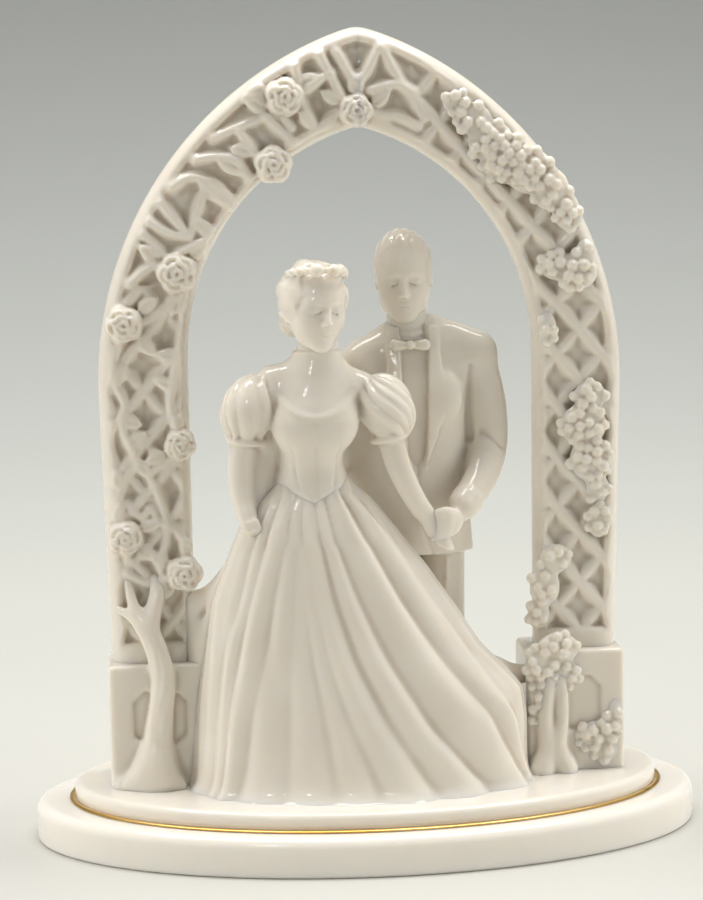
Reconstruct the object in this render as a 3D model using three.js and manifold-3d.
// A porcelain wedding cake topper: a couple under a lattice arch, on an oval stand.
// Millimetres, +Z up. The couple faces -Y. The origin is on the ground under the stand's middle.

import * as THREE from 'three';
import { mergeVertices } from 'three/addons/utils/BufferGeometryUtils.js';
import Module from 'manifold-3d';

const wasm = await Module();
wasm.setup();

// The luting slip between two castings
const LUTE = 0.3;

// Oval stand, with a foot ring round a shallow hollow underneath
const STAND_LENGTH = 164;
const STAND_DEPTH = 91;
const STAND_HEIGHT = 9.5;
const STAND_EDGE = 2.6;
const FOOT_EDGE = 0.8;
const FOOT_RING = 8;
const FOOT_HOLLOW = 1.6;

// Oval plinth, and the gilt line round its foot
const PLINTH_LENGTH = 145;
const PLINTH_DEPTH = 79;
const PLINTH_HEIGHT = 4;
const PLINTH_EDGE = 1.6;
const GILT_WIDTH = 0.9;
const GILT_HEIGHT = 0.5;

// Pedestals, with an eight-sided sunk panel in front
const PEDESTAL_INNER = 39;
const PEDESTAL_WIDTH = 24.5;
const PEDESTAL_DEPTH = 18;
const PEDESTAL_HEIGHT = 29.9;
const SUNK_WIDTH = 12;
const SUNK_HEIGHT = 12.5;
const SUNK_CORNER = 2.6;
const SUNK_DEPTH = 1.2;

// Arch of two piers and two arcs, with raised rims round a recess
const ARCH_DEPTH = 12;
const PIER_FOOT_HALF = 62.5;
const OUTER_HALF = 64;
const OUTER_SPRING = 65.7;
const OUTER_CENTRE = 26.5;
const INNER_HALF = 42;
const INNER_SPRING = 73.7;
const INNER_CENTRE = 14.7;
const BAND = OUTER_HALF - INNER_HALF;
const OUTER_RIM = BAND * 0.209;
const INNER_RIM = BAND * 0.164;
const SILL = 5;
const RECESS_DEPTH = 3.5;

// Lattice of crossing slats on a thin backing
const BACKING = 0.8;
const SLAT_RISE = 1.7;
const SLAT_WIDTH = 2.6;
const SLAT_PITCH = 8.4;
const SLAT_ANGLE = 48;

// Rose stems, roses and blossoms on the arch
const TRUNK_RADIUS = 2.9;
const STEM_RADIUS = 1.1;
const ROSE_RADIUS = 4.4;
const ROSE_RISE = 4.2;
const LEAF_LENGTH = 6.5;
const LEAF_WIDTH = 3;
const LEAF_THICKNESS = 1.6;
const FLORET_WIDTH = 2;
const BLOSSOM_RISE = 4.4;
const BUSH_STEM_RADIUS = 1.5;

// Bride, measured from the plinth's top; x is positive to the viewer's right
const BRIDE_X = -12.5;
const BRIDE_Y = -10;
const SKIRT_HEIGHT = 74;
const SKIRT_LEFT = 27;
const SKIRT_RIGHT = 48;
const SKIRT_FRONT = 21;
const SKIRT_BACK = 20;
const FOLD_COUNT = 13;
const FOLD_DEPTH = 1.5;
const BODICE_HEIGHT = 22;
const WAIST_RADIUS = 9.6;
const BUST_RADIUS = 11.4;
const BRIDE_HEAD_WIDTH = 13.6;
const BRIDE_HEAD_DEPTH = 15.6;
const BRIDE_HEAD_HEIGHT = 19;
const BRIDE_NECK_LENGTH = 9.9;
const WREATH_THICKNESS = 2.7;
const PUFF_RADIUS = 7;
const PUFF_HEIGHT = 17;
const BRIDE_ARM_RADIUS = 2.7;

// Groom, measured from the plinth's top
const GROOM_X = 14;
const GROOM_Y = 5;
const TROUSER_HEIGHT = 53.5;
const LEG_RADIUS = 5.8;
const JACKET_LENGTH = 52.5;
const CHEST_RADIUS = 13;
const CHEST_DEPTH = 8.4;
const CLOTH_LAYER = 0.9;
const BOW_HALF = 4.6;
const BOW_DEPTH = 2.2;
const GROOM_NECK_RADIUS = 4;
const GROOM_HEAD_WIDTH = 14.4;
const GROOM_HEAD_DEPTH = 17;
const GROOM_HEAD_HEIGHT = 22;
const GROOM_NECK_LENGTH = 4.7;
const SLEEVE_RADIUS = 4.8;
const CUFF_RADIUS = 3.4;
const HAND_RADIUS = 3;

// Levels and faces that follow from the sizes above
const PLINTH_FOOT = STAND_HEIGHT + LUTE;
const PLINTH_TOP = PLINTH_FOOT + PLINTH_HEIGHT;
const GROUND = PLINTH_TOP + LUTE;
const PEDESTAL_TOP = GROUND + PEDESTAL_HEIGHT;
const PEDESTAL_FRONT = -PEDESTAL_DEPTH / 2;
const PIER_FOOT = PEDESTAL_TOP + LUTE;
const ARCH_FRONT = -ARCH_DEPTH / 2;
const RECESS_FLOOR = ARCH_FRONT + RECESS_DEPTH;
const SLAT_FRONT = RECESS_FLOOR - LUTE - BACKING - SLAT_RISE;
const RELIEF_SEAT = SLAT_FRONT - LUTE;
const WAIST = GROUND + SKIRT_HEIGHT;
const JACKET_HEM = GROUND + TROUSER_HEIGHT + LUTE;
const JACKET_TOP = JACKET_HEM + JACKET_LENGTH;
const GROOM_CHIN = JACKET_TOP + GROOM_NECK_LENGTH;
const ROUND = 2 * Math.PI;

// A closed geometry becomes a solid once its shared corners are merged.
function solid(geometry) {
  geometry.deleteAttribute('normal');
  geometry.deleteAttribute('uv');
  const merged = mergeVertices(geometry, 1e-4);
  return new wasm.Manifold(new wasm.Mesh({
    numProp: 3,
    vertProperties: new Float32Array(merged.attributes.position.array),
    triVerts: new Uint32Array(merged.index.array),
  }));
}

// Skin over rings of equally many points. The ends are capped, or joined where the rings close a loop.
function skin(rings, closed = false) {
  const sides = rings[0].length;
  const points = rings.flat();
  const faces = [];
  const last = closed ? rings.length : rings.length - 1;
  for (let i = 0; i < last; i += 1) {
    const low = i * sides;
    const high = ((i + 1) % rings.length) * sides;
    for (let j = 0; j < sides; j += 1) {
      const next = (j + 1) % sides;
      faces.push([low + j, low + next, high + next], [low + j, high + next, high + j]);
    }
  }
  if (!closed) {
    for (const [start, turned] of [[0, true], [(rings.length - 1) * sides, false]]) {
      const middle = points.length;
      const ring = points.slice(start, start + sides);
      points.push(ring.reduce((sum, p) => sum.add(p), new THREE.Vector3()).divideScalar(sides));
      for (let j = 0; j < sides; j += 1) {
        const pair = [start + j, start + (j + 1) % sides];
        faces.push([middle, ...(turned ? pair.reverse() : pair)]);
      }
    }
  }
  const volume = faces.reduce((sum, [a, b, c]) => {
    return sum + points[a].dot(points[b].clone().cross(points[c]));
  }, 0);
  const outward = volume > 0 ? faces : faces.map(([a, b, c]) => [a, c, b]);
  const geometry = new THREE.BufferGeometry().setFromPoints(points);
  geometry.setIndex(outward.flat());
  return solid(geometry);
}

// A level oval ring of points; fold(angle) pushes points out or in.
function oval(x, y, z, halfWidth, halfDepth, sides = 24, fold = () => 0) {
  return Array.from({ length: sides }, (_, i) => {
    const angle = ROUND * i / sides;
    const push = fold(angle);
    return new THREE.Vector3(
      x + (halfWidth + push) * Math.cos(angle),
      y + (halfDepth + push) * Math.sin(angle),
      z,
    );
  });
}

// A body lofted through level ovals given as [x, y, z, halfWidth, halfDepth], from the lowest up.
function loft(sections, grow = 0, sides = 24) {
  const ends = [0, sections.length - 1];
  return skin(sections.map(([x, y, z, width, depth], i) => {
    const lift = i === ends[0] ? -grow : i === ends[1] ? grow : 0;
    return oval(x, y, z + lift, width + grow, depth + grow, sides);
  }));
}

// A limb along a curve through points, with a radius at each point and domed ends.
function limb(points, radii, grow = 0, sides = 10, steps = 12) {
  const curve = new THREE.CatmullRomCurve3(points.map((p) => new THREE.Vector3(...p)));
  const frames = curve.computeFrenetFrames(steps);
  const ringAt = (i, shift, share) => {
    const place = i / steps * (radii.length - 1);
    const k = Math.min(Math.floor(place), radii.length - 2);
    const radius = (radii[k] + (radii[k + 1] - radii[k]) * (place - k) + grow);
    const centre = curve.getPointAt(i / steps).addScaledVector(frames.tangents[i], shift * radius);
    return Array.from({ length: sides }, (_, j) => {
      const angle = ROUND * j / sides;
      return centre.clone()
        .addScaledVector(frames.normals[i], share * radius * Math.cos(angle))
        .addScaledVector(frames.binormals[i], share * radius * Math.sin(angle));
    });
  };
  const rings = [ringAt(0, -0.55, 0.6)];
  for (let i = 0; i <= steps; i += 1) {
    rings.push(ringAt(i, 0, 1));
  }
  rings.push(ringAt(steps, 0.55, 0.6));
  return skin(rings);
}

// An egg: an ellipsoid whose lower half narrows to the chin.
function egg(x, y, z, halfWidth, halfDepth, halfHeight, taper = 0, sides = 14, bands = 8) {
  const rings = [];
  for (let i = 1; i < bands; i += 1) {
    const angle = -Math.PI / 2 + Math.PI * i / bands;
    const narrow = 1 - taper * Math.max(0, -Math.sin(angle));
    const share = Math.cos(angle) * narrow;
    rings.push(oval(x, y, z + halfHeight * Math.sin(angle), halfWidth * share, halfDepth * share, sides));
  }
  return skin(rings);
}

// An upright outline in x and z, drawn out from front to back.
function prism(outline, front, back) {
  const shape = new THREE.Shape(outline.map(([x, z]) => new THREE.Vector2(x, z)));
  const geometry = new THREE.ExtrudeGeometry(shape, { depth: back - front, bevelEnabled: false });
  geometry.rotateX(Math.PI / 2);
  geometry.translate(0, back, 0);
  return solid(geometry);
}

// The rectangle between two corners as an outline
function rectangle(left, bottom, right, top) {
  return [[left, bottom], [right, bottom], [right, top], [left, top]];
}

// The largest body of a cut piece: scraps that a cut leaves beside it are rubbed away.
function largest(body) {
  return body.decompose().reduce((best, one) => (one.volume() > best.volume() ? one : best));
}

const join = (bodies) => bodies.reduce((all, one) => all.add(one));
const cut = (body, cutters) => largest(cutters.reduce((left, one) => left.subtract(one), body));

const topper = new THREE.Group();

function place(name, body, colour = 0xe6dfd0, roughness = 0.2, metalness = 0) {
  const { vertProperties, triVerts } = body.getMesh();
  const geometry = new THREE.BufferGeometry();
  geometry.setAttribute('position', new THREE.BufferAttribute(vertProperties, 3));
  geometry.setIndex(new THREE.BufferAttribute(triVerts, 1));
  geometry.computeVertexNormals();
  const material = new THREE.MeshStandardMaterial({ color: colour, roughness, metalness });
  const mesh = new THREE.Mesh(geometry, material);
  mesh.name = name;
  topper.add(mesh);
}

// Foot

const OVAL_SIDES = 48;

// A ring of the stand or plinth, drawn in from the full outline by an inset
const outlineRing = (length, depth) => (inset, z) => {
  return oval(0, 0, z, length / 2 - inset, depth / 2 - inset, OVAL_SIDES);
};

// Rings of a rounded top edge, from the side up to the flat top
function roundedTop(ring, top, edge, steps = 3) {
  return Array.from({ length: steps + 1 }, (_, i) => {
    const angle = Math.PI / 2 * i / steps;
    return ring(edge * (1 - Math.cos(angle)), top - edge * (1 - Math.sin(angle)));
  });
}

function stand() {
  const ring = outlineRing(STAND_LENGTH, STAND_DEPTH);
  return skin([
    ring(FOOT_RING, FOOT_HOLLOW),
    ring(FOOT_RING, 0),
    ring(FOOT_EDGE, 0),
    ring(0, FOOT_EDGE),
    ...roundedTop(ring, STAND_HEIGHT, STAND_EDGE),
  ]);
}

function plinth() {
  const ring = outlineRing(PLINTH_LENGTH, PLINTH_DEPTH);
  return skin([ring(0, PLINTH_FOOT), ...roundedTop(ring, PLINTH_TOP, PLINTH_EDGE)]);
}

function giltLine() {
  const ring = outlineRing(PLINTH_LENGTH, PLINTH_DEPTH);
  const low = STAND_HEIGHT + LUTE;
  const corners = [
    ring(-LUTE, low),
    ring(-LUTE - GILT_WIDTH, low),
    ring(-LUTE - GILT_WIDTH, low + GILT_HEIGHT / 2),
    ring(-LUTE, low + GILT_HEIGHT),
  ];
  return skin(corners[0].map((_, i) => corners.map((corner) => corner[i])), true);
}

// Pedestals and arch. side is -1 on the viewer's left and 1 on the right.

function pedestal(side, grow = 0) {
  const inner = PEDESTAL_INNER - grow;
  const outer = PEDESTAL_INNER + PEDESTAL_WIDTH + grow;
  const outline = rectangle(inner, GROUND - grow, outer, PEDESTAL_TOP + grow);
  const block = outline.map(([x, z]) => [side * x, z]);
  return prism(block, PEDESTAL_FRONT - grow, -PEDESTAL_FRONT + grow);
}

function sunkPanel(side) {
  const x = side * (PEDESTAL_INNER + PEDESTAL_WIDTH / 2);
  const z = GROUND + PEDESTAL_HEIGHT / 2;
  const wide = SUNK_WIDTH / 2;
  const high = SUNK_HEIGHT / 2;
  const corners = [[1, 1], [-1, 1], [-1, -1], [1, -1]];
  const outline = corners.flatMap(([across, up]) => {
    const onSide = [x + across * wide, z + up * (high - SUNK_CORNER)];
    const onTop = [x + across * (wide - SUNK_CORNER), z + up * high];
    return across * up > 0 ? [onSide, onTop] : [onTop, onSide];
  });
  return prism(outline, PEDESTAL_FRONT - 1, PEDESTAL_FRONT + SUNK_DEPTH);
}

// A point on an edge of the arch. Along it, -1 is the pier's foot, 0 the springing and 1 the apex.
function edgePoint(along, foot, half, spring, centre, inset) {
  const radius = half + centre - inset;
  if (along < 0) {
    return [half + (half - foot) * along - inset, PIER_FOOT + spring * (1 + along)];
  }
  const angle = along * Math.acos((centre + LUTE / 2) / radius);
  return [radius * Math.cos(angle) - centre, PIER_FOOT + spring + radius * Math.sin(angle)];
}

const outerPoint = (along, inset = 0) => {
  return edgePoint(along, PIER_FOOT_HALF, OUTER_HALF, OUTER_SPRING, OUTER_CENTRE, inset);
};
const innerPoint = (along, inset = 0) => {
  return edgePoint(along, INNER_HALF, INNER_HALF, INNER_SPRING, INNER_CENTRE, -inset);
};

// A point on the band: across runs from 0 on the inner edge to 1 on the outer one.
function bandPoint(side, along, across) {
  const outer = outerPoint(along);
  const inner = innerPoint(along);
  return [
    side * (inner[0] + (outer[0] - inner[0]) * across),
    inner[1] + (outer[1] - inner[1]) * across,
  ];
}

const PIER = [-1, 0];
const ARC = [0, 1];
const ARC_STEPS = 10;

// The outline of a stretch of the band, drawn in by an inset on each edge
function bandOutline(side, [from, to], outerInset = 0, innerInset = 0) {
  const steps = from < 0 ? 1 : ARC_STEPS;
  const stations = Array.from({ length: steps + 1 }, (_, i) => from + (to - from) * i / steps);
  const outer = stations.map((along) => outerPoint(along, outerInset));
  const inner = stations.map((along) => innerPoint(along, innerInset));
  return [...outer, ...inner.reverse()].map(([x, z]) => [side * x, z]);
}

// What parts the pier from the arc: a thin slanted joint at the springing
function springJoint(side) {
  const outer = outerPoint(0);
  const inner = innerPoint(0);
  const reach = 1.2;
  const end = [outer[0] + (outer[0] - inner[0]) * reach, outer[1] + (outer[1] - inner[1]) * reach];
  const start = [inner[0] - (outer[0] - inner[0]) * reach, inner[1] - (outer[1] - inner[1]) * reach];
  const outline = [start, end, [end[0], end[1] - LUTE], [start[0], start[1] - LUTE]];
  return prism(outline.map(([x, z]) => [side * x, z]), -ARCH_DEPTH, ARCH_DEPTH);
}

// The recess of a stretch, and the same room for what lies in it
function recess(side, stretch, front, back, clear = 0) {
  const outline = bandOutline(side, stretch, OUTER_RIM + clear, INNER_RIM + clear);
  const room = prism(outline, front, back);
  const sill = PIER_FOOT + SILL + clear;
  const wide = 2 * OUTER_HALF;
  return room.subtract(prism(rectangle(-wide, 0, wide, sill), front - 1, back + 1));
}

function archFrame(side, stretch) {
  const band = prism(bandOutline(side, stretch), ARCH_FRONT, -ARCH_FRONT);
  return cut(band, [recess(side, stretch, ARCH_FRONT - 1, RECESS_FLOOR), springJoint(side)]);
}

// The rims of both sides, grown by the luting slip, cut what is laid over them.
function rimCutter() {
  const rims = [-1, 1].flatMap((side) => [PIER, ARC].map((stretch) => {
    const band = prism(bandOutline(side, stretch, -LUTE, -LUTE), ARCH_FRONT - LUTE, -ARCH_FRONT);
    return band.subtract(recess(side, stretch, ARCH_FRONT - 1, RECESS_FLOOR, LUTE));
  }));
  const crown = outerPoint(1)[1];
  const meeting = rectangle(-LUTE, crown - OUTER_RIM, LUTE, crown + LUTE);
  return join([...rims, prism(meeting, ARCH_FRONT - LUTE, -ARCH_FRONT)]);
}

// One straight slat across the band, leaning either way
function slat(side, lean, shift) {
  const angle = lean * SLAT_ANGLE * Math.PI / 180;
  const span = 2 * OUTER_HALF + 2 * OUTER_SPRING;
  const geometry = new THREE.BoxGeometry(span, SLAT_RISE + BACKING, SLAT_WIDTH);
  geometry.translate(0, SLAT_FRONT + (SLAT_RISE + BACKING) / 2, shift);
  geometry.rotateY(-angle);
  geometry.translate(side * (INNER_HALF + OUTER_HALF) / 2, 0, PIER_FOOT + OUTER_SPRING);
  return solid(geometry);
}

function lattice(side, stretch) {
  const room = recess(side, stretch, SLAT_FRONT, RECESS_FLOOR - LUTE, LUTE);
  const backing = recess(side, stretch, SLAT_FRONT + SLAT_RISE, RECESS_FLOOR - LUTE, LUTE);
  const count = Math.ceil((OUTER_SPRING + OUTER_HALF) / SLAT_PITCH);
  const slats = [];
  for (let i = -count; i <= count; i += 1) {
    slats.push(slat(side, 1, i * SLAT_PITCH), slat(side, -1, i * SLAT_PITCH));
  }
  return cut(backing.add(room.intersect(join(slats))), [springJoint(side)]);
}

// Relief on the arch

const RIMS = rimCutter();
const BEHIND = prism(rectangle(-STAND_LENGTH, 0, STAND_LENGTH, 2 * STAND_LENGTH), RELIEF_SEAT, STAND_DEPTH);

// A stem through stations [along, across] of the band, lying on the slats
function stem(stations, grow = 0) {
  const points = stations.map(([along, across]) => {
    const [x, z] = bandPoint(-1, along, across);
    return [x, RELIEF_SEAT - STEM_RADIUS, z];
  });
  const radii = stations.map((_, i) => STEM_RADIUS * (1 - 0.3 * i / stations.length));
  return limb(points, radii, grow, 5, 2 * stations.length);
}

const LEFT_STEM = [[-0.74, 0.72], [-0.62, 0.66], [-0.5, 0.5], [-0.34, 0.56], [-0.18, 0.66], [0.1, 0.45]];
const RIGHT_STEM = [[-0.74, 0.4], [-0.56, 0.3], [-0.38, 0.36], [-0.2, 0.3], [-0.06, 0.36], [0.18, 0.36]];
const CROWN_STEM = [[0.24, 0.5], [0.34, 0.52], [0.42, 0.32], [0.54, 0.36], [0.64, 0.3], [0.9, 0.36]];

// The trunk rises in front of the pedestal, from spread roots to its fork before the lattice.
function trunk(grow = 0) {
  const x = -PEDESTAL_INNER - PEDESTAL_WIDTH / 2;
  const y = PEDESTAL_FRONT - LUTE - TRUNK_RADIUS;
  const fork = PEDESTAL_TOP + PEDESTAL_HEIGHT / 2;
  const foot = GROUND + TRUNK_RADIUS / 2;
  const points = [
    [x - TRUNK_RADIUS * 0.2, y - TRUNK_RADIUS * 0.2, foot + TRUNK_RADIUS],
    [x + TRUNK_RADIUS * 0.2, y, GROUND + PEDESTAL_HEIGHT * 0.45],
    [x + TRUNK_RADIUS * 0.15, y, GROUND + PEDESTAL_HEIGHT * 0.8],
    [x - TRUNK_RADIUS * 0.7, y + TRUNK_RADIUS * 0.2, PEDESTAL_TOP + TRUNK_RADIUS * 1.4],
    [x - TRUNK_RADIUS * 0.85, RELIEF_SEAT - TRUNK_RADIUS, fork],
  ];
  const radii = [1.5, 1.05, 1, 0.9, 0.7].map((share) => share * TRUNK_RADIUS);
  const stem = limb(points, radii, grow, 8, 8);
  const roots = [-1, 0, 1].map((turn) => limb(
    [
      [x, y, foot + 2 * TRUNK_RADIUS],
      [x + turn * TRUNK_RADIUS * 2.4, y - TRUNK_RADIUS * (0.35 + 0.35 * Math.abs(turn)), foot + grow],
    ],
    [TRUNK_RADIUS, TRUNK_RADIUS / 2],
    grow,
    6,
    2,
  ));
  return join([stem, ...roots]);
}

// A leaf lying on the relief's seat, pointing at an angle from the viewer's right
function leaf([x, z], angle) {
  const geometry = new THREE.SphereGeometry(1, 6, 4);
  geometry.scale(LEAF_LENGTH / 2, LEAF_THICKNESS, LEAF_WIDTH / 2);
  geometry.translate(LEAF_LENGTH / 2 + ROSE_RADIUS * 0.6, 0, 0);
  geometry.rotateY(-angle);
  geometry.translate(x, RELIEF_SEAT, z);
  return solid(geometry);
}

// A rose head: a turned cup with a sunk heart, on its side, facing out of the arch
function roseHead([x, z], size) {
  const radius = ROSE_RADIUS * size;
  const profile = [[0, 0], [0.8, 0], [1, 0.35], [0.85, 0.75], [0.45, 1], [0.3, 0.8], [0, 0.75]];
  const points = profile.map(([share, rise]) => new THREE.Vector2(share * radius, rise * ROSE_RISE * size));
  const geometry = new THREE.LatheGeometry(points, 10);
  geometry.rotateX(Math.PI);
  geometry.translate(x, RELIEF_SEAT, z);
  return solid(geometry);
}

// A dome of small flowers, lobed round its edge
function blossomDome([x, z], wide, high, grow = 0) {
  const lobes = 7;
  const halfWidth = wide * FLORET_WIDTH + grow;
  const halfHeight = high * FLORET_WIDTH + grow;
  const rings = [[1, 0], [1, 0.3], [0.8, 0.75], [0.35, 1]].map(([share, rise]) => {
    return Array.from({ length: 2 * lobes }, (_, i) => {
      const angle = ROUND * i / (2 * lobes);
      const reach = share * (1 + 0.07 * Math.cos(lobes * angle));
      return new THREE.Vector3(
        x + halfWidth * reach * Math.cos(angle),
        RELIEF_SEAT - BLOSSOM_RISE * rise,
        z + halfHeight * reach * Math.sin(angle),
      );
    });
  });
  return skin(rings);
}

// What lies on the arch is cut by the slats' plane, the rims and the pieces laid before it.
const onArch = (body, earlier = []) => cut(body, [BEHIND, RIMS, ...earlier]);

// Bride

// The skirt at shares of its height, with its reach as shares of its reach at the hem
const SKIRT_SECTIONS = [
  { share: 0, left: 1, right: 1, front: 1, back: 1 },
  { share: 0.1, left: 0.963, right: 0.996, front: 0.93, back: 1 },
  { share: 0.33, left: 0.907, right: 0.958, front: 0.786, back: 0.9 },
  { share: 0.57, left: 0.87, right: 0.688, front: 0.619, back: 0.75 },
  { share: 0.72, left: 0.76, right: 0.531, front: 0.548, back: 0.6 },
  { share: 0.86, left: 0.574, right: 0.354, front: 0.476, back: 0.475 },
  { share: 1, left: 0.385, right: 0.217, front: 0.4, back: 0.4 },
];

function skirt() {
  const rings = SKIRT_SECTIONS.map((section) => {
    const { share } = section;
    const left = BRIDE_X - SKIRT_LEFT * section.left;
    const right = BRIDE_X + SKIRT_RIGHT * section.right;
    const front = BRIDE_Y - SKIRT_FRONT * section.front;
    const back = BRIDE_Y + SKIRT_BACK * section.back;
    const fold = (angle) => FOLD_DEPTH * (1 - share) * Math.cos(FOLD_COUNT * angle + 2 * share);
    const middle = [(left + right) / 2, (front + back) / 2, GROUND + SKIRT_HEIGHT * share];
    return oval(...middle, (right - left) / 2, (back - front) / 2, 4 * FOLD_COUNT, fold);
  });
  return skin(rings);
}

function bodice(grow = 0) {
  const low = WAIST + LUTE;
  const at = (share) => low + BODICE_HEIGHT * share;
  return loft([
    [BRIDE_X, BRIDE_Y, at(0), WAIST_RADIUS, WAIST_RADIUS * 0.8],
    [BRIDE_X, BRIDE_Y, at(0.25), WAIST_RADIUS, WAIST_RADIUS * 0.8],
    [BRIDE_X, BRIDE_Y - 0.6, at(0.65), BUST_RADIUS, BUST_RADIUS * 0.82],
    [BRIDE_X, BRIDE_Y, at(0.9), BUST_RADIUS * 0.96, BUST_RADIUS * 0.66],
    [BRIDE_X, BRIDE_Y, at(1), BUST_RADIUS * 0.85, BUST_RADIUS * 0.55],
  ], grow, 20);
}

const SHOULDER = WAIST + LUTE + BODICE_HEIGHT;
const BRIDE_CHIN = SHOULDER + BRIDE_NECK_LENGTH;
const BRIDE_FACE = [BRIDE_X + 0.6, BRIDE_Y - 1, BRIDE_CHIN + BRIDE_HEAD_HEIGHT / 2];

function brideHead(grow = 0) {
  const half = [BRIDE_HEAD_WIDTH, BRIDE_HEAD_DEPTH, BRIDE_HEAD_HEIGHT].map((size) => size / 2 + grow);
  return egg(...BRIDE_FACE, ...half, 0.22);
}

// Shoulders and neck, from under the neckline up to the jaw
function brideBust(grow = 0) {
  const neck = BRIDE_HEAD_WIDTH * 0.27;
  const jaw = BRIDE_CHIN + BRIDE_HEAD_HEIGHT * 0.3;
  return loft([
    [BRIDE_X, BRIDE_Y - 0.5, SHOULDER - BODICE_HEIGHT * 0.3, BUST_RADIUS * 0.7, BUST_RADIUS * 0.84],
    [BRIDE_X, BRIDE_Y, SHOULDER - BODICE_HEIGHT * 0.1, BUST_RADIUS * 0.8, BUST_RADIUS * 0.68],
    [BRIDE_X, BRIDE_Y, SHOULDER + BRIDE_NECK_LENGTH * 0.1, BUST_RADIUS * 0.7, BUST_RADIUS * 0.45],
    [BRIDE_X, BRIDE_Y, SHOULDER + BRIDE_NECK_LENGTH * 0.35, neck * 1.3, neck * 1.2],
    [BRIDE_X + 0.3, BRIDE_Y, SHOULDER + BRIDE_NECK_LENGTH * 0.6, neck, neck],
    [BRIDE_X + 0.5, BRIDE_Y, jaw, neck, neck],
  ], grow, 16);
}

function brideHair(grow = 0) {
  const [x, y, z] = BRIDE_FACE;
  const cap = egg(
    x - BRIDE_HEAD_WIDTH * 0.045,
    y + BRIDE_HEAD_DEPTH * 0.14,
    z + BRIDE_HEAD_HEIGHT * 0.095,
    BRIDE_HEAD_WIDTH * 0.566 + grow,
    BRIDE_HEAD_DEPTH * 0.526 + grow,
    BRIDE_HEAD_HEIGHT * 0.49 + grow,
  );
  const knot = egg(
    x - BRIDE_HEAD_WIDTH * 0.38,
    y + BRIDE_HEAD_DEPTH * 0.35,
    z - BRIDE_HEAD_HEIGHT * 0.18,
    BRIDE_HEAD_WIDTH * 0.265 + grow,
    BRIDE_HEAD_WIDTH * 0.265 + grow,
    BRIDE_HEAD_WIDTH * 0.265 + grow,
    0,
    10,
    6,
  );
  return cap.add(knot);
}

// The wreath of small flowers rings the crown of the head, tipped back.
function wreath() {
  const [x, y, z] = BRIDE_FACE;
  const flowers = 12;
  const stations = 2 * flowers;
  const tilt = 0.28;
  const reach = BRIDE_HEAD_WIDTH * 0.53;
  const depth = BRIDE_HEAD_DEPTH * 0.513;
  const rings = Array.from({ length: stations }, (_, i) => {
    const angle = ROUND * i / stations;
    const thick = WREATH_THICKNESS * (0.5 + 0.09 * Math.cos(flowers * angle));
    return Array.from({ length: 6 }, (_unused, j) => {
      const turn = ROUND * j / 6;
      const out = thick * Math.cos(turn);
      const along = (depth + out) * Math.sin(angle);
      const up = BRIDE_HEAD_HEIGHT * 0.31 + thick * Math.sin(turn) - tilt * along;
      const back = y + BRIDE_HEAD_DEPTH * 0.09;
      return new THREE.Vector3(x + (reach + out) * Math.cos(angle), back + along, z + up);
    });
  });
  return skin(rings, true);
}

const PUFF_OUT = BUST_RADIUS + PUFF_RADIUS * 0.55;
const PUFF_LEVEL = SHOULDER - PUFF_HEIGHT * 0.22;

function puff(side, grow = 0) {
  const x = BRIDE_X + side * PUFF_OUT + (side > 0 ? 0.8 : 0);
  const half = [PUFF_RADIUS, PUFF_RADIUS * 0.95, PUFF_HEIGHT / 2].map((size) => size + grow);
  return egg(x, BRIDE_Y - 1, PUFF_LEVEL, ...half);
}

// The clasped hands hang below the waist, in front of the groom
const CLASP_DROP = 12.5;
const CLASP = [GROOM_X + 3, BRIDE_Y - 0.5, WAIST - CLASP_DROP];

function brideArm(side, grow = 0) {
  const r = BRIDE_ARM_RADIUS;
  const from = [BRIDE_X + side * (PUFF_OUT + r * 0.4), BRIDE_Y - r * 0.4, PUFF_LEVEL - PUFF_HEIGHT * 0.3];
  const hanging = [
    [BRIDE_X - PUFF_OUT - r * 0.6, BRIDE_Y - r * 0.55, WAIST - r * 0.75],
    [BRIDE_X - PUFF_OUT - r * 0.45, BRIDE_Y - r * 1.1, WAIST - r * 6],
  ];
  const reaching = [
    [BRIDE_X + PUFF_OUT + r * 1.85, BRIDE_Y - r * 0.75, WAIST],
    [CLASP[0] - r * 0.75, CLASP[1], CLASP[2] + r * 0.75],
  ];
  return limb([from, ...(side < 0 ? hanging : reaching)], [r * 1.1, r, r * 0.8], grow, 8, 6);
}

// Groom

const LEG_SPREAD = LEG_RADIUS * 0.95;

function trousers(grow = 0) {
  const knee = GROUND + TROUSER_HEIGHT * 0.5;
  const legs = [-1, 1].map((side) => {
    const x = GROOM_X + 1 + side * LEG_SPREAD;
    return loft([
      [x, GROOM_Y + 3.5, GROUND, LEG_RADIUS * 0.9, LEG_RADIUS],
      [x, GROOM_Y + 3, knee, LEG_RADIUS * 0.95, LEG_RADIUS],
      [x - 0.5, GROOM_Y + 1, GROUND + TROUSER_HEIGHT, LEG_RADIUS, LEG_RADIUS * 1.1],
    ], grow, 14);
  });
  return join(legs);
}

function jacket(grow = 0) {
  const at = (share) => JACKET_HEM + JACKET_LENGTH * share;
  return loft([
    [GROOM_X + 0.5, GROOM_Y, at(0), CHEST_RADIUS, CHEST_DEPTH],
    [GROOM_X + 0.3, GROOM_Y, at(0.35), CHEST_RADIUS * 0.94, CHEST_DEPTH * 0.97],
    [GROOM_X, GROOM_Y, at(0.65), CHEST_RADIUS, CHEST_DEPTH],
    [GROOM_X, GROOM_Y, at(0.86), CHEST_RADIUS * 1.05, CHEST_DEPTH * 0.9],
    [GROOM_X, GROOM_Y, at(0.96), CHEST_RADIUS * 0.8, CHEST_DEPTH * 0.7],
    [GROOM_X, GROOM_Y, at(1), CHEST_RADIUS * 0.45, CHEST_DEPTH * 0.55],
  ], grow, 22);
}

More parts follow.
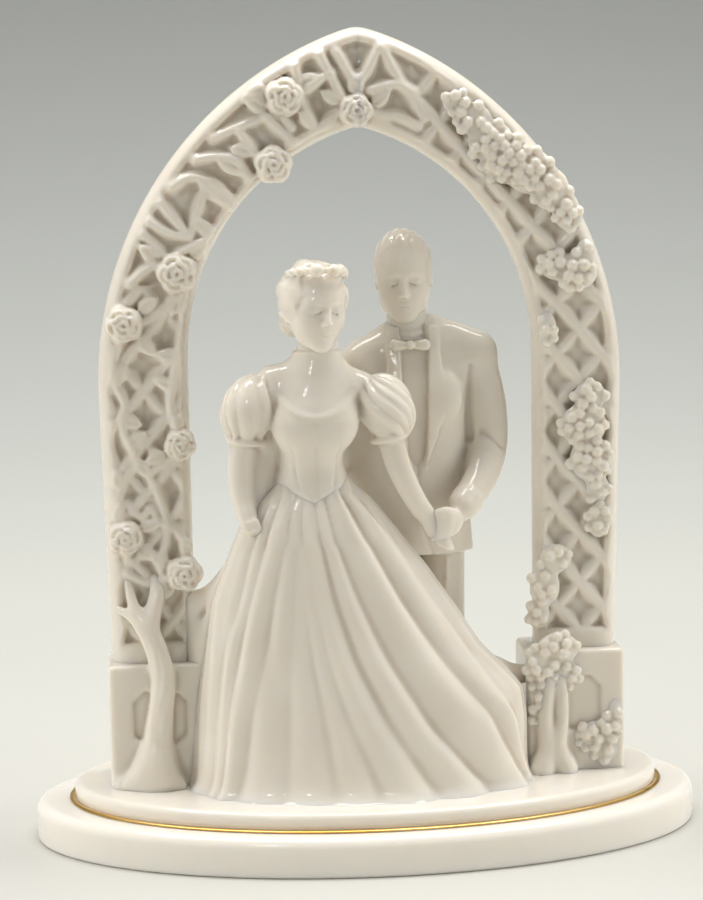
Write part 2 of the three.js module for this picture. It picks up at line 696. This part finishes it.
// A layer of cloth on the jacket's front, inside an outline and clear of the sleeves
function frontLayer(outline) {
  const layer = jacket(LUTE + CLOTH_LAYER).intersect(prism(outline, GROOM_Y - 3 * CHEST_DEPTH, GROOM_Y - 1));
  return cut(layer, [jacket(LUTE), sleeve(-1, LUTE), sleeve(1, LUTE)]);
}

// The shirt front narrows from the collar to the jacket's button.
const BUTTON = [GROOM_X - 1, JACKET_HEM + JACKET_LENGTH * 0.4];
const COLLAR_HALF = GROOM_NECK_RADIUS * 0.95;
const COLLAR_LEVEL = JACKET_TOP - JACKET_LENGTH * 0.05;

function shirtFront() {
  return frontLayer([
    BUTTON,
    [GROOM_X + COLLAR_HALF, COLLAR_LEVEL],
    [GROOM_X - COLLAR_HALF, COLLAR_LEVEL],
  ]);
}

// A lapel lies beside the shirt front, broad at the chest.
function lapel(side) {
  const broad = CHEST_RADIUS * 0.5;
  return frontLayer([
    [BUTTON[0] + side * LUTE, BUTTON[1] - LUTE],
    [BUTTON[0] + side * (LUTE + 1), BUTTON[1] - LUTE],
    [GROOM_X + side * (COLLAR_HALF + broad), COLLAR_LEVEL - JACKET_LENGTH * 0.22],
    [GROOM_X + side * (COLLAR_HALF + 2), COLLAR_LEVEL],
    [GROOM_X + side * (COLLAR_HALF + LUTE), COLLAR_LEVEL],
  ]);
}

function groomNeck(grow = 0) {
  const jaw = GROOM_CHIN + GROOM_HEAD_HEIGHT * 0.3;
  return loft([
    [GROOM_X - 0.5, GROOM_Y, JACKET_TOP + LUTE, GROOM_NECK_RADIUS * 1.1, GROOM_NECK_RADIUS * 1.1],
    [GROOM_X - 1, GROOM_Y - 0.5, JACKET_TOP + LUTE + 2.4, GROOM_NECK_RADIUS * 1.1, GROOM_NECK_RADIUS * 1.1],
    [GROOM_X - 1.5, GROOM_Y - 0.5, JACKET_TOP + LUTE + 2.8, GROOM_NECK_RADIUS, GROOM_NECK_RADIUS],
    [GROOM_X - 2, GROOM_Y - 0.5, jaw, GROOM_NECK_RADIUS, GROOM_NECK_RADIUS],
  ], grow, 16);
}

// Two flared wings, joined by the knot, in front of the collar
function bowTie() {
  const [x, z] = [GROOM_X - 0.5, JACKET_TOP + LUTE];
  const [flare, knot, waist] = [BOW_HALF * 0.41, BOW_HALF * 0.2, BOW_HALF * 0.17];
  const wings = [
    [x - BOW_HALF, z + flare],
    [x - knot, z + waist],
    [x + knot, z + waist],
    [x + BOW_HALF, z + flare],
    [x + BOW_HALF, z - flare],
    [x + knot, z - waist],
    [x - knot, z - waist],
    [x - BOW_HALF, z - flare],
  ];
  const front = GROOM_Y - GROOM_NECK_RADIUS * 1.1 - LUTE - BOW_DEPTH * 1.1;
  const body = prism(wings, front, front + BOW_DEPTH);
  return cut(body, [jacket(LUTE), groomNeck(LUTE), jacket(2 * LUTE + CLOTH_LAYER)]);
}

const GROOM_FACE = [GROOM_X - 3, GROOM_Y - 1, GROOM_CHIN + GROOM_HEAD_HEIGHT / 2];

function groomHead(grow = 0) {
  const half = [GROOM_HEAD_WIDTH, GROOM_HEAD_DEPTH, GROOM_HEAD_HEIGHT].map((size) => size / 2 + grow);
  return egg(...GROOM_FACE, ...half, 0.16);
}

function groomHair() {
  const [x, y, z] = GROOM_FACE;
  return egg(
    x,
    y + GROOM_HEAD_DEPTH * 0.095,
    z + GROOM_HEAD_HEIGHT * 0.11,
    GROOM_HEAD_WIDTH * 0.55,
    GROOM_HEAD_DEPTH * 0.518,
    GROOM_HEAD_HEIGHT * 0.464,
  );
}

const SHOULDER_LEVEL = JACKET_HEM + JACKET_LENGTH * 0.89;

// The near sleeve bends at the elbow to the clasped hands; the far one passes behind the bride.
function sleeve(side, grow = 0) {
  const shoulder = [GROOM_X + side * CHEST_RADIUS, GROOM_Y, SHOULDER_LEVEL];
  const near = [
    [GROOM_X + CHEST_RADIUS + 4.6, GROOM_Y, SHOULDER_LEVEL - JACKET_LENGTH * 0.24],
    [GROOM_X + CHEST_RADIUS + 4, GROOM_Y - 3, SHOULDER_LEVEL - JACKET_LENGTH * 0.43],
    [CLASP[0] + 6.5, CLASP[1] + 3, CLASP[2] + 6],
  ];
  const far = [
    [GROOM_X - CHEST_RADIUS - 3, GROOM_Y + 0.5, SHOULDER_LEVEL - JACKET_LENGTH * 0.2],
    [BRIDE_X + 7, GROOM_Y - 0.5, SHOULDER_LEVEL - JACKET_LENGTH * 0.38],
  ];
  const radii = side > 0
    ? [SLEEVE_RADIUS, SLEEVE_RADIUS, SLEEVE_RADIUS * 0.95, CUFF_RADIUS]
    : [SLEEVE_RADIUS, SLEEVE_RADIUS * 0.95, CUFF_RADIUS];
  return limb([shoulder, ...(side > 0 ? near : far)], radii, grow, 10, 8);
}

function groomHand(grow = 0) {
  const wrist = [CLASP[0] + 5.2, CLASP[1] + 2, CLASP[2] + 4];
  const finger = [CLASP[0] - 0.6, CLASP[1] - 1, CLASP[2] - 2];
  return limb([wrist, CLASP, finger], [HAND_RADIUS * 0.7, HAND_RADIUS, HAND_RADIUS * 0.8], grow, 8, 5);
}

// The assembled topper

place('stand', stand());
place('plinth', plinth());
place('gilt_line', giltLine(), 0xb8872e, 0.25, 1);

const SIDES = [['left', -1], ['right', 1]];
for (const [name, side] of SIDES) {
  place(`${name}_pedestal`, cut(pedestal(side), [sunkPanel(side)]));
  place(`${name}_pier`, archFrame(side, PIER));
  place(`${name}_arc`, archFrame(side, ARC));
  place(`${name}_pier_lattice`, lattice(side, PIER));
  place(`${name}_arc_lattice`, lattice(side, ARC));
}

place('rose_trunk', cut(trunk(), [pedestal(-1, LUTE), BEHIND]));
const STEMS = [];
for (const [name, stations] of [['left', LEFT_STEM], ['right', RIGHT_STEM], ['crown', CROWN_STEM]]) {
  place(`rose_stem_${name}`, onArch(stem(stations), [trunk(LUTE), ...STEMS]));
  STEMS.push(stem(stations, LUTE));
}

// Each rose: its place on the band, its size and the way its leaves point, in degrees
const ROSES = [
  { along: -0.71, across: 0.12, size: 1, leaves: [150, 250] },
  { along: -0.53, across: 0.8, size: 1, leaves: [20, 300] },
  { along: -0.27, across: 0.13, size: 0.85, leaves: [80, 200] },
  { along: 0.14, across: 0.77, size: 1, leaves: [-60, 10] },
  { along: 0.27, across: 0.3, size: 1.05, leaves: [120, -80] },
  { along: 0.69, across: 0.08, size: 1, leaves: [200, 20] },
  { along: 0.81, across: 0.64, size: 1, leaves: [210, -30] },
  { along: 0.99, across: 0.2, size: 0.9, leaves: [180, 60] },
];
ROSES.forEach(({ along, across, size, leaves }, i) => {
  const at = bandPoint(-1, along, across);
  const sprays = leaves.map((degrees) => leaf(at, degrees * Math.PI / 180));
  place(`rose_${i + 1}`, onArch(join([roseHead(at, size), ...sprays]), [...STEMS, trunk(LUTE)]));
});

// Each cluster of blossom: its domes as [along, across, halfWidth, halfHeight], in florets
const CLUSTERS = [
  [[0.69, 0.8, 2, 2], [0.6, 0.66, 3.7, 3.5], [0.5, 0.78, 2.7, 2.5], [0.42, 0.84, 2, 2.3]],
  [[0.25, 0.57, 3, 2.2]],
  [[-0.2, 0.6, 2.6, 3], [-0.34, 0.64, 2.3, 2.8]],
  [[-0.54, 0.78, 1.8, 2.7]],
  [[-0.7, 0.24, 2.1, 2.3], [-0.82, 0.13, 2.1, 2.8]],
];
CLUSTERS.forEach((domes, i) => {
  const bodies = domes.map(([along, across, wide, high]) => {
    return blossomDome(bandPoint(1, along, across), wide, high);
  });
  place(`blossom_cluster_${i + 1}`, onArch(join(bodies)));
});
place('inner_rim_bud', onArch(blossomDome(bandPoint(1, 0.08, 0.16), 1.6, 2.3)));

// The bush, its two stems and the leaf clump stand on the front of the right pedestal.
const BUSH = [PEDESTAL_INNER + PEDESTAL_WIDTH * 0.27, PEDESTAL_TOP - PEDESTAL_HEIGHT * 0.1];
const toPedestal = (body) => body.translate([0, PEDESTAL_FRONT - LUTE - RELIEF_SEAT, 0]);
const bush = toPedestal(blossomDome(BUSH, 3.1, 4.7));
const stemFront = PEDESTAL_FRONT - LUTE - BUSH_STEM_RADIUS;
const bushStems = join([-1, 1].map((side) => limb(
  [
    [BUSH[0] + side * BUSH_STEM_RADIUS * 0.8, stemFront, BUSH[1] - FLORET_WIDTH],
    [BUSH[0] + side * BUSH_STEM_RADIUS * 1.5, stemFront, GROUND + PEDESTAL_HEIGHT * 0.4],
    [BUSH[0] + side * BUSH_STEM_RADIUS * 0.5, stemFront, GROUND + 1.2 * BUSH_STEM_RADIUS],
  ],
  [BUSH_STEM_RADIUS * 0.8, BUSH_STEM_RADIUS, BUSH_STEM_RADIUS * 1.4],
  0,
  6,
  6,
)));
const underGround = rectangle(-STAND_LENGTH, -STAND_LENGTH, STAND_LENGTH, GROUND);
const groundCut = prism(underGround, -STAND_DEPTH, STAND_DEPTH);
const clumpPlace = [PEDESTAL_INNER + PEDESTAL_WIDTH * 0.74, GROUND + PEDESTAL_HEIGHT * 0.22];
const bushGrown = toPedestal(blossomDome(BUSH, 3.1, 4.7, LUTE));
place('bush', cut(bush, [pedestal(1, LUTE)]));
place('bush_stems', cut(bushStems, [pedestal(1, LUTE), bushGrown, groundCut]));
place('leaf_clump', cut(toPedestal(blossomDome(clumpPlace, 3, 2.8)), [pedestal(1, LUTE), groundCut]));

place('bride_skirt', cut(skirt(), [
  trousers(LUTE),
  pedestal(-1, LUTE),
  pedestal(1, LUTE),
  trunk(LUTE),
  brideArm(-1, LUTE),
]));
place('bride_bust', cut(brideBust(), [brideHead(LUTE)]));
place('bride_bodice', cut(bodice(), [brideBust(LUTE)]));
place('bride_head', brideHead());
place('bride_hair', cut(brideHair(), [brideHead(LUTE), brideBust(LUTE)]));
place('bride_wreath', cut(wreath(), [brideHead(LUTE), brideHair(LUTE)]));
for (const [name, side] of SIDES) {
  const body = [bodice(LUTE), brideBust(LUTE)];
  place(`bride_${name}_puff`, cut(puff(side), body));
  place(`bride_${name}_arm`, cut(brideArm(side), [...body, puff(side, LUTE)]));
}

place('groom_trousers', cut(trousers(), [jacket(LUTE)]));
place('groom_jacket', cut(jacket(), [bodice(LUTE)]));
place('groom_shirt_front', shirtFront());
for (const [name, side] of SIDES) {
  place(`groom_${name}_lapel`, lapel(side));
}
place('groom_neck', cut(groomNeck(), [groomHead(LUTE), jacket(LUTE)]));
place('groom_bow_tie', bowTie());
place('groom_head', groomHead());
place('groom_hair', cut(groomHair(), [groomHead(LUTE), groomNeck(LUTE)]));
for (const [name, side] of SIDES) {
  place(`groom_${name}_sleeve`, cut(sleeve(side), [
    jacket(LUTE),
    bodice(LUTE),
    puff(1, LUTE),
    brideArm(1, LUTE),
  ]));
}
place('groom_hand', cut(groomHand(), [sleeve(1, LUTE), brideArm(1, LUTE), jacket(LUTE)]));

export default topper;
